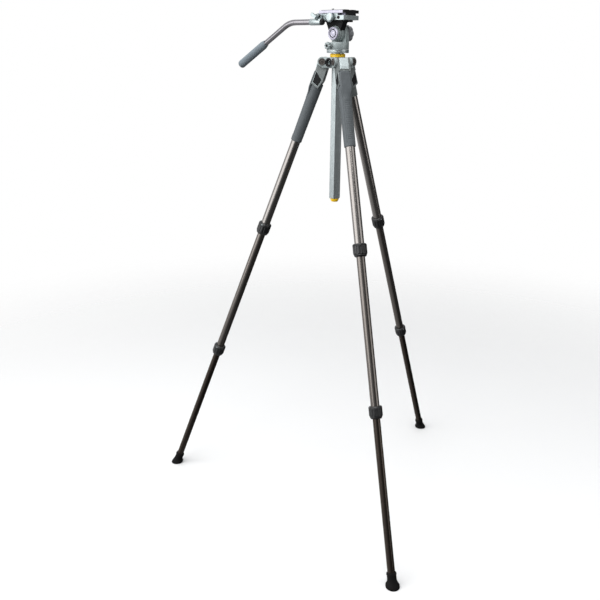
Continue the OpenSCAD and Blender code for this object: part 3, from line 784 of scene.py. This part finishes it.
def lobed_knob(start, end, collar, radius, lobes, stem, stem_start):
    """Knob along +Z from start to end, with a collar, round lobes, a dished face and its screw."""
    length = end - start
    outline = rounded([(collar, start), (collar, start + 0.17 * length),
                       (radius - 2.2, start + 0.26 * length), (radius, start + 0.36 * length),
                       (radius, end - 0.16 * length), (radius - 2.4, end), (radius * 0.5, end),
                       (radius * 0.42, end - 0.8)], 1.0)
    profile = [(stem, stem_start), (stem, start)] + outline

    def relief(angle, z, r):
        if r < collar + 0.2 or z < start + 0.2 * length:
            return 0.0
        return -0.24 * radius * wave(angle, lobes, 1.5) * min(1.0, r / radius)

    return turned(profile, 144, relief)


# ---------- head ----------

def pan_parts():
    base = rounded([(17, 22.3), (17, 24.3), (28.6, 24.3), (30, 25.6), (30, 27.6), (29.4, 27.9), (29.4, 28.3),
                    (30, 28.6), (30, 32.4), (29.6, 32.9), (12, 32.9)], 0.35)
    piece("pan_base_ring", "column", turned(base + [(12, 46.9)], 144), head_place(), SILVER,
          ["pan_base"])
    carry("pan_body", CASTING, 1.0)
    place = side_place(2, 42.5)
    piece("pan_lock_screw", "pan_lock", lobed_knob(33.3, 44.0, 7.0, 9.9, 8, 3.0, 17.0), place, CASTING,
          ["pan_lock_knob"])
    insert = turned(rounded([(3.6, 43.0), (3.6, 44.2), (2.8, 44.5)], 0.3), 6)
    piece("pan_lock_insert", "pan_lock", insert, place, BLACK_PLASTIC)


def tilt_parts():
    axis = side_place(0, TILT_AXIS_Z)
    drum = rounded([(6, -3), (20.5, -3), (20.5, 7.2), (19.9, 7.9), (18.4, 8.0), (18.4, 8.9), (19.5, 9.1),
                    (19.5, 13.2), (18.9, 13.9), (17.2, 14.0), (17.2, 14.9), (18.3, 15.1), (18.3, 18.4),
                    (17.8, 19.0)], 0.4)
    key = extruded([(-12, 0), (12, 0), (12, 22), (-12, 22)], -3.0, 8.0)
    drum_mesh = turned([(6, -38), (6, -3)] + drum[1:], 144)
    piece("tilt_drum_casting", "tilt", together(drum_mesh, key), axis, CASTING, ["tilt_drum"])
    band = turned([(18.7, 8.15), (18.7, 8.85), (17.9, 8.85), (17.9, 8.15)], 144, wrap=True)
    piece("drum_seal", "tilt", band, axis, BLACK_PLASTIC)
    rim_profile = rounded([(13.6, 19.05), (17, 19.05), (17, 21.2), (16, 22.9), (14.4, 22.9), (13.6, 22.1)],
                          0.4, 4, True)
    rim = turned(rim_profile, 144, wrap=True)
    piece("hub_rim", "tilt", rim, axis, HUB_DISC, ["hub_cover"])
    face = turned(rounded([(13.4, 19.1), (13.4, 21.9), (12.7, 22.3), (6.4, 22.3), (6.0, 21.8), (5.0, 21.8),
                           (4.6, 22.3), (1.0, 22.6)], 0.25), 144)
    piece("hub_face", "tilt", face, axis, HUB_DISC)
    dark_ring = turned([(11.4, 22.0), (11.4, 22.5), (8.6, 22.5), (8.6, 22.0)], 144, wrap=True)
    piece("hub_dark_ring", "tilt", dark_ring, axis, BLACK_METAL)
    carry("tilt_cradle", BLACK_METAL, 0.8)
    dial_place = facing(head_point(0, 0, TILT_AXIS_Z), (1, 0, 0))
    outline = rounded([(19, 15.4), (19, 22.0), (20, 22.6), (22.8, 25.2), (22.8, 38.0), (17.5, 44.0),
                       (9, 44.2), (8, 43.2), (6, 43.2)], 1.2)

    def scallop(angle, z, r):
        return -1.7 * wave(angle, 8, 3.5) * window(z, 24.0, 46.0, 3.0) if r > 15 else 0.0

    dial = turned([(7, 15.4)] + closely(outline, 1.2), 192, scallop)
    piece("tilt_drag_dial", "tilt_lock", dial, dial_place, DIAL_METAL, ["tilt_dial"])
    cap = turned(rounded([(5.8, 42.5), (5.8, 43.9), (5.0, 44.2)], 0.3), 48)
    piece("dial_cap", "tilt_lock", cap, dial_place, BLACK_PLASTIC)


def plate_parts():
    carry("platform", SILVER, 0.7)
    carry("camera_plate", PLATE_METAL, 0.5)
    front = [(-30.2, 124.1), (-17.65, 124.1), (-19.1, 118.75), (19.1, 118.75), (17.65, 124.1), (30.2, 124.1),
             (30.2, 131.9), (-30.2, 131.9)]
    stop = extruded(rounded(front, 0.8, 3, True), 0.0, 5.5, 0.25)
    place = facing(head_point(0, PLATE_FRONT + 5.2, 0), (0, -1, 0))
    piece("plate_front_stop", "plate", stop, place, BLACK_PLASTIC)
    for side, name in ((-1, "left"), (1, "right")):
        rings = []
        count = 168
        for i in range(count + 1):
            y = PLATE_FRONT + 3 + (PLATE_LENGTH - 6) * i / count
            near_end = min(i, count - i)
            half = 8.5 - (1.2 if near_end == 0 else 0.5 if near_end == 1 else 0.0)
            top = PLATE_TOP + (1.35 if i % 4 in (1, 2) else 0.95)
            x = side * 14
            rings.append([(x - half, y, PLATE_TOP), (x + half, y, PLATE_TOP), (x + half, y, top - 0.3),
                          (x + half - 0.4, y, top), (x - half + 0.4, y, top), (x - half, y, top - 0.3)])
        replaced = ["plate_pads"] if side < 0 else []
        piece(f"plate_pad_{name}", "plate", loft(rings), head_place(), PAD_RUBBER, replaced)
    camera_screw()
    knob = rounded([(7, 30.3), (7, 33), (10.9, 33.1), (12, 34.0), (12, 38.6), (10.8, 40.6), (8.0, 41.7),
                    (3.0, 42.0)], 0.9)

    def flutes(angle, z, r):
        return -0.45 * wave(angle, 36, 1.0) * window(z, 33.2, 39.6, 0.9) if r > 10 else 0.0

    clamp = turned([(3, 14), (3, 30.3)] + closely(knob, 0.7), 216, flutes)
    piece("plate_clamp", "plate_clamp", clamp, side_place(0, CLAMP_Z), PALE_SILVER,
          ["plate_clamp_knob"])
    button = turned(rounded([(3.95, 23), (3.95, 31.4), (3.2, 32.2), (1.2, 32.0)], 0.5), 48)
    piece("plate_safety", "plate_safety", button, side_place(-25, CLAMP_Z), BLACK_PLASTIC,
          ["plate_safety_button"])
    for y in (-38, 44):
        screw = socket_screw_mesh(3.2, 2.4, 1.7)
        place = facing(head_point(0, y, 107.6), (0, 0, -1))
        piece(f"platform_screw_{abs(y)}", "tilt", screw, place, SCREW_BLACK)


def camera_screw():
    """Quarter-inch camera screw: flat head in the plate, shank, and a cut thread above the pads."""
    pitch = 1.27

    def thread(angle, z, r):
        if z < 133.2 or z > 138.0:
            return 0.0
        turn = (z / pitch - angle / TAU) % 1.0
        fade = min(1.0, (138.0 - z) / 0.8)
        return -0.62 * abs(2 * turn - 1) * fade - 0.45 * (1 - fade)

    profile = [(1.5, 120.5), (7.0, 120.5), (7.5, 121.0), (7.5, 124.7), (7.0, 125.2), (3.45, 125.2),
               (3.45, 132.8), (3.17, 133.1)]
    steps = 56
    profile += [(3.17, 133.1 + 4.9 * i / steps) for i in range(1, steps + 1)]
    profile += [(2.4, 138.1)]
    piece("camera_screw_steel", "camera_screw", turned(profile, 72, thread),
          Matrix.Translation(head_point(0, 20, 0)), STEEL, ["camera_screw"], sharp=50)


def handle_parts():
    carry("handle_bracket", SILVER, 0.8)
    carry("handle_tube", HANDLE_METAL)
    front = facing(head_point(HANDLE_X, 22, HANDLE_Z), (0, -1, 0))
    plug = turned(rounded([(7.3, -2), (7.3, 0.2), (8.3, 0.4), (8.3, 4.2), (6.6, 6.8), (3.0, 7.4)], 1.0), 72)
    piece("handle_plug", "handle", plug, front, BLACK_PLASTIC)
    bend = (Matrix.Translation(head_point(HANDLE_X, HANDLE_REACH, HANDLE_Z - BEND_R))
            @ Matrix.Rotation(math.radians(-BEND), 4, "X") @ Matrix.Translation(Vector((0, 0, BEND_R)) * MM))
    lower = bend @ Matrix.Rotation(math.radians(-90), 4, "X")
    end = HANDLE_DROP + HANDLE_GRIP
    outline = rounded([(8.2, HANDLE_DROP), (9.0, HANDLE_DROP + 0.6), (11.2, HANDLE_DROP + 11),
                       (11.5, HANDLE_DROP + 14), (11.5, end - 6), (10.8, end - 2), (8.0, end)], 1.5)

    def ribs(angle, z, r):
        along = z - HANDLE_DROP
        return -0.4 * (0.5 + 0.5 * math.cos(TAU * along / 6.0)) ** 3 * window(along, 14, HANDLE_GRIP - 8, 4)

    bore = [(1.0, end), (1.0, end - 20), (7.55, end - 20), (7.55, HANDLE_DROP)]
    grip = turned(closely(outline, 0.7) + bore, 96, ribs, wrap=True)
    piece("handle_foam", "handle", grip, lower, FOAM, ["handle_grip"])
    place = side_place(38, 117.5)
    washer_profile = rounded([(3.1, 38.6), (6.3, 38.6), (6.3, 41.4), (5.6, 41.8), (3.1, 41.8)], 0.4, 3, True)
    washer = turned(washer_profile, 72, wrap=True)
    piece("handle_washer", "handle_lock", washer, place, BLACK_PLASTIC)
    neck = rounded([(5.9, 41.9), (5.9, 43.5), (4.7, 47.0), (4.4, 52.0), (4.0, 58.6)], 1.0)
    stem = turned([(3, 27), (3, 41.5)] + neck, 72)
    wing_outline = rounded([(-10.5, -3.4), (-8.5, -4.5), (-3.5, -3.9), (3.5, -3.9), (8.5, -4.5),
                            (10.5, -3.4), (10.5, 3.4), (8.5, 4.5), (3.5, 3.9), (-3.5, 3.9), (-8.5, 4.5),
                            (-10.5, 3.4)], 1.8, 4, True)
    wing = moved(extruded(wing_outline, 51.7, 59.1, 1.6), Matrix.Rotation(math.radians(WING_TURN), 4, "Z"))
    piece("handle_wing", "handle_lock", together(stem, wing), place, PALE_SILVER, ["handle_knob"])


# ---------- the floor, lights and camera ----------

def toward(azimuth, elevation):
    """Direction from the object to a light, with the azimuth measured as in the views."""
    a, e = math.radians(azimuth), math.radians(elevation)
    return Vector((math.sin(a) * math.cos(e), -math.cos(a) * math.cos(e), math.sin(e)))


def softbox(name, azimuth, elevation, distance, width, height, power):
    """Area light aimed at the middle of the object."""
    middle = (CAD_BOX[0] + CAD_BOX[1]) / 2
    back = toward(azimuth, elevation)
    light = bpy.data.lights.new(name, "AREA")
    light.shape = "RECTANGLE"
    light.size, light.size_y = width, height
    light.energy = power
    obj = bpy.data.objects.new(name, light)
    obj.location = middle + back * distance
    obj.rotation_mode = "QUATERNION"
    obj.rotation_quaternion = (-back).to_track_quat("-Z", "Y")
    bpy.context.scene.collection.objects.link(obj)


def sky():
    """Plain white behind the object for the camera, and a dim room that the surfaces see."""
    world = bpy.data.worlds.new("studio")
    world.use_nodes = True
    tree = world.node_tree
    seen = tree.nodes["Background"]
    seen.inputs["Color"].default_value = (1, 1, 1, 1)
    seen.inputs["Strength"].default_value = 1.0
    room = tree.nodes.new("ShaderNodeBackground")
    room.inputs["Color"].default_value = (0.97, 0.985, 1.0, 1)
    direction = tree.nodes.new("ShaderNodeTexCoord")
    dot = tree.nodes.new("ShaderNodeVectorMath")
    dot.operation = "DOT_PRODUCT"
    tree.links.new(direction.outputs["Generated"], dot.inputs[0])
    dot.inputs[1].default_value = toward(BRIGHT_SIDE, 30)
    level = tree.nodes.new("ShaderNodeMapRange")
    level.interpolation_type = "SMOOTHSTEP"
    level.inputs["From Min"].default_value = -0.7
    level.inputs["From Max"].default_value = 0.9
    level.inputs["To Min"].default_value = 0.05
    level.inputs["To Max"].default_value = 0.85
    tree.links.new(dot.outputs["Value"], level.inputs["Value"])
    tree.links.new(level.outputs["Result"], room.inputs["Strength"])
    path = tree.nodes.new("ShaderNodeLightPath")
    both = tree.nodes.new("ShaderNodeMixShader")
    tree.links.new(path.outputs["Is Camera Ray"], both.inputs[0])
    tree.links.new(room.outputs["Background"], both.inputs[1])
    tree.links.new(seen.outputs["Background"], both.inputs[2])
    tree.links.new(both.outputs["Shader"], tree.nodes["World Output"].inputs["Surface"])
    bpy.context.scene.world = world


def pale_floor():
    """A plain pale floor that fades into the white round it. It is seen only by the camera, so it lights
    nothing."""
    finish = Finish("pale_floor", (FLOOR_SHADE, FLOOR_SHADE, FLOOR_SHADE), 0.9, Specular_IOR_Level=0.1)
    distance = finish.add("ShaderNodeVectorMath", {"Vector": finish.space}, operation="LENGTH")
    fade = finish.add("ShaderNodeMapRange", {"Value": distance.outputs["Value"]},
                      interpolation_type="SMOOTHSTEP")
    fade.inputs["From Min"].default_value = 0.25 * FLOOR_RADIUS
    fade.inputs["From Max"].default_value = 0.95 * FLOOR_RADIUS
    fade.inputs["To Min"].default_value = 1.0
    fade.inputs["To Max"].default_value = 0.0
    finish.tree.links.new(fade.outputs["Result"], finish.shader.inputs["Alpha"])
    outline = circle(FLOOR_RADIUS, 96)
    data = bpy.data.meshes.new("floor")
    data.from_pydata([(x, y, 0.0) for x, y in outline], [], [tuple(range(len(outline)))])
    data.materials.append(finish.material)
    floor = bpy.data.objects.new("floor", data)
    floor.visible_diffuse = False
    floor.visible_glossy = False
    floor.visible_shadow = False
    bpy.context.scene.collection.objects.link(floor)


def lights():
    """Name, azimuth, elevation and distance of each soft light, its width and height, and its power."""
    sky()
    softbox("key", -108, 26, 2.9, 3.0, 3.6, 66)
    softbox("front", -56, 48, 3.4, 2.0, 1.4, 34)
    softbox("right", 14, 14, 3.2, 2.2, 3.2, 30)
    softbox("top", -80, 82, 3.0, 2.4, 2.4, 38)
    softbox("bounce", -60, -75, 3.0, 3.0, 3.0, 7)


def camera():
    """The photograph's camera, as fitted to the photograph."""
    data = bpy.data.cameras.new("camera")
    data.lens = 45.15
    data.sensor_width = 36.0
    data.shift_x = -0.0023
    data.shift_y = -0.0329
    obj = bpy.data.objects.new("camera", data)
    obj.location = (-1.7397, -1.3737, 1.3192)
    heading, pitch, roll = math.radians(-47.06), math.radians(16.98), math.radians(0.56)
    turn = (Matrix.Rotation(heading, 3, "Z") @ Matrix.Rotation(math.pi / 2 - pitch, 3, "X")
            @ Matrix.Rotation(roll, 3, "Z"))
    obj.rotation_euler = turn.to_euler()
    bpy.context.scene.collection.objects.link(obj)
    bpy.context.scene.camera = obj
    bpy.context.scene.view_settings.view_transform = "Standard"


for leg_name in LEGS:
    build_leg(leg_name)
column_parts()
pan_parts()
tilt_parts()
plate_parts()
handle_parts()
pale_floor()
lights()
camera()
